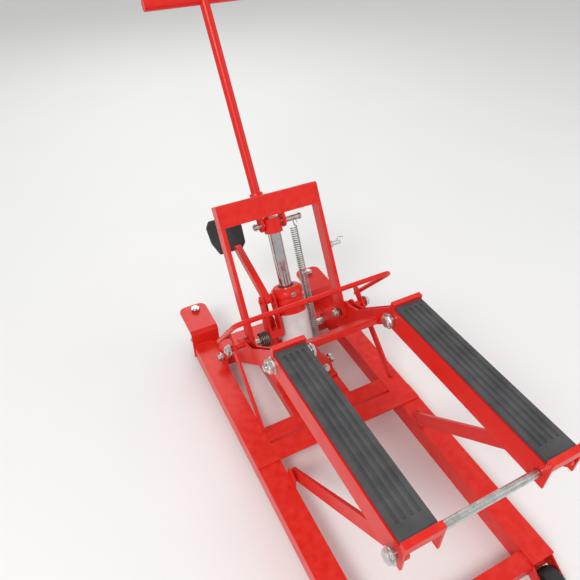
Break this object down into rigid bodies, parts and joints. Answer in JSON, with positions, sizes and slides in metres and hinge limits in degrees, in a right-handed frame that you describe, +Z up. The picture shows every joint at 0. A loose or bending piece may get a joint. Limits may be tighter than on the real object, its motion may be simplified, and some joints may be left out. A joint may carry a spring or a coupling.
{
  "type": "hydraulic motorcycle lift jack",
  "caption": "Low wheeled lift jack: a parallel arm linkage raises two padded saddles, driven by a foot pumped hydraulic ram through a tilting gate with a T handle.",
  "frame": {"origin": "on the floor, in the middle of the machine seen from above", "axes": "+X across the width, -Y to the front, where the saddles are, +Z up"},
  "size_m": [0.38, 1.032, 0.748],
  "materials": {
    "red_powder_coat": "glossy red powder coat with a fine orange peel",
    "zinc_plate": "bright zinc plating",
    "hard_chrome": "polished hard chrome",
    "saddle_rubber": "matt ribbed rubber",
    "black_rubber": "matt black rubber",
    "wheel_rubber": "moulded black wheel",
    "spring_zinc": "zinc plated spring wire",
    "dark_spring_steel": "oiled dark spring steel",
    "label_grey": "plain satin label film"
  },
  "bodies": {
    "base": {"flat_cross_bar": "red_powder_coat", "front_axle": "zinc_plate", "front_cross_member": "red_powder_coat", "jack_base": "red_powder_coat", "jack_cross_member": "red_powder_coat", "jack_tank": "red_powder_coat", "left_base_rail": "red_powder_coat", "left_caster_bracket": "red_powder_coat", "left_front_pivot_bracket": "red_powder_coat", "left_jack_bar": "red_powder_coat", "left_rear_pivot_bracket": "red_powder_coat", "lower_crossbeam": "red_powder_coat", "pump_bracket": "red_powder_coat", "pump_cylinder": "red_powder_coat", "rear_arm_shaft": "zinc_plate", "rear_crossbeam": "red_powder_coat", "return_spring": "spring_zinc", "right_base_rail": "red_powder_coat", "right_caster_bracket": "red_powder_coat", "right_front_pivot_bracket": "red_powder_coat", "right_jack_bar": "red_powder_coat", "right_rear_pivot_bracket": "red_powder_coat"},
    "lift_arms": {"left_rear_arm": "red_powder_coat", "right_rear_arm": "red_powder_coat", "left_gate_pin": "zinc_plate", "right_gate_pin": "zinc_plate", "arm_cross_plate": "red_powder_coat", "torsion_spring": "dark_spring_steel"},
    "platform": {"left_saddle": "red_powder_coat", "right_saddle": "red_powder_coat", "left_saddle_pad": "saddle_rubber", "right_saddle_pad": "saddle_rubber", "left_saddle_bolt": "zinc_plate", "right_saddle_bolt": "zinc_plate", "saddle_front_shaft": "zinc_plate"},
    "front_arms": {"left_front_arm": "red_powder_coat", "right_front_arm": "red_powder_coat"},
    "lock_bar": {"lock_left_strip": "red_powder_coat", "lock_right_strip": "red_powder_coat", "lock_left_handle_leg": "red_powder_coat", "lock_right_handle_leg": "red_powder_coat", "lock_handle_bar": "red_powder_coat"},
    "ram": {"ram": "hard_chrome", "ram_head": "red_powder_coat", "cross_pin": "zinc_plate"},
    "gate": {"gate_crossbar": "red_powder_coat", "gate_left_leg": "red_powder_coat", "gate_right_leg": "red_powder_coat", "gate_side_screw": "zinc_plate", "t_handle": "red_powder_coat"},
    "pedal": {"pedal_arm": "red_powder_coat", "pedal_pad": "black_rubber"},
    "plunger": {"pump_plunger": "hard_chrome"},
    "valve": {"release_valve": "zinc_plate"},
    "left_caster_swivel": {"left_caster_fork": "zinc_plate"},
    "right_caster_swivel": {"right_caster_fork": "zinc_plate"},
    "left_caster_roll": {"left_caster_wheel": "wheel_rubber"},
    "right_caster_roll": {"right_caster_wheel": "wheel_rubber"},
    "left_front_roll": {"left_front_wheel": "wheel_rubber"},
    "right_front_roll": {"right_front_wheel": "wheel_rubber"}
  },
  "joints": [
    {"name": "lift", "type": "hinge", "parent": "base", "child": "lift_arms", "pos_m": [0, 0.184, 0.09], "axis": [-1, 0, 0], "range_deg": [-36, 4]},
    {"name": "platform_level", "type": "hinge", "parent": "lift_arms", "child": "platform", "pos_m": [0, -0.089, 0.33], "axis": [-1, 0, 0], "range_deg": [-4, 36]},
    {"name": "front_arm_swing", "type": "hinge", "parent": "base", "child": "front_arms", "pos_m": [0, -0.149, 0.09], "axis": [-1, 0, 0], "range_deg": [-36, 4]},
    {"name": "ram_slide", "type": "slide", "parent": "base", "child": "ram", "axis": [0, 0.4344, 0.9007], "range_m": [-0.0783, 0.0088], "deforming": ["return_spring"]},
    {"name": "gate_tilt", "type": "hinge", "parent": "ram", "child": "gate", "pos_m": [0, 0.21567, 0.37965], "axis": [-1, 0, 0], "range_deg": [-0.5, 3.2]},
    {"name": "lock_bar_swing", "type": "hinge", "parent": "lift_arms", "child": "lock_bar", "pos_m": [0, 0.0915, 0.203], "axis": [-1, 0, 0], "range_deg": [-7.3, 65]},
    {"name": "pump_pedal", "type": "hinge", "parent": "base", "child": "pedal", "pos_m": [-0.05, 0.143, 0.24994], "axis": [-1, 0, 0], "range_deg": [0, 22]},
    {"name": "plunger_slide", "type": "slide", "parent": "base", "child": "plunger", "axis": [0, 0.4344, 0.9007], "range_m": [-0.0095, 0]},
    {"name": "release_valve_turn", "type": "hinge", "parent": "base", "child": "valve", "pos_m": [0.0423, 0.05639, 0.10697], "axis": [1, 0, 0], "range_deg": [0, 180]},
    {"name": "left_caster_swivel_turn", "type": "hinge", "parent": "base", "child": "left_caster_swivel", "pos_m": [-0.154, 0.34, 0.09], "axis": [0, 0, 1], "continuous": true},
    {"name": "left_caster_wheel_spin", "type": "hinge", "parent": "left_caster_swivel", "child": "left_caster_roll", "pos_m": [-0.154, 0.318, 0.036], "axis": [1, 0, 0], "continuous": true},
    {"name": "left_front_wheel_spin", "type": "hinge", "parent": "base", "child": "left_front_roll", "pos_m": [-0.164, -0.488, 0.028], "axis": [1, 0, 0], "continuous": true},
    {"name": "right_caster_swivel_turn", "type": "hinge", "parent": "base", "child": "right_caster_swivel", "pos_m": [0.154, 0.34, 0.09], "axis": [0, 0, 1], "continuous": true},
    {"name": "right_caster_wheel_spin", "type": "hinge", "parent": "right_caster_swivel", "child": "right_caster_roll", "pos_m": [0.154, 0.318, 0.036], "axis": [1, 0, 0], "continuous": true},
    {"name": "right_front_wheel_spin", "type": "hinge", "parent": "base", "child": "right_front_roll", "pos_m": [0.164, -0.488, 0.028], "axis": [1, 0, 0], "continuous": true}
  ],
  "couplings": [
    {"joint": "platform_level", "follows": "lift", "ratio": -1},
    {"joint": "front_arm_swing", "follows": "lift", "ratio": 1},
    {"joint": "ram_slide", "follows": "lift", "m_per_rad": 0.1245},
    {"joint": "gate_tilt", "follows": "lift", "ratio": -0.0855},
    {"joint": "lock_bar_swing", "follows": "lift", "ratio": -1.8},
    {"joint": "plunger_slide", "follows": "pump_pedal", "m_per_rad": -0.0235}
  ]
}
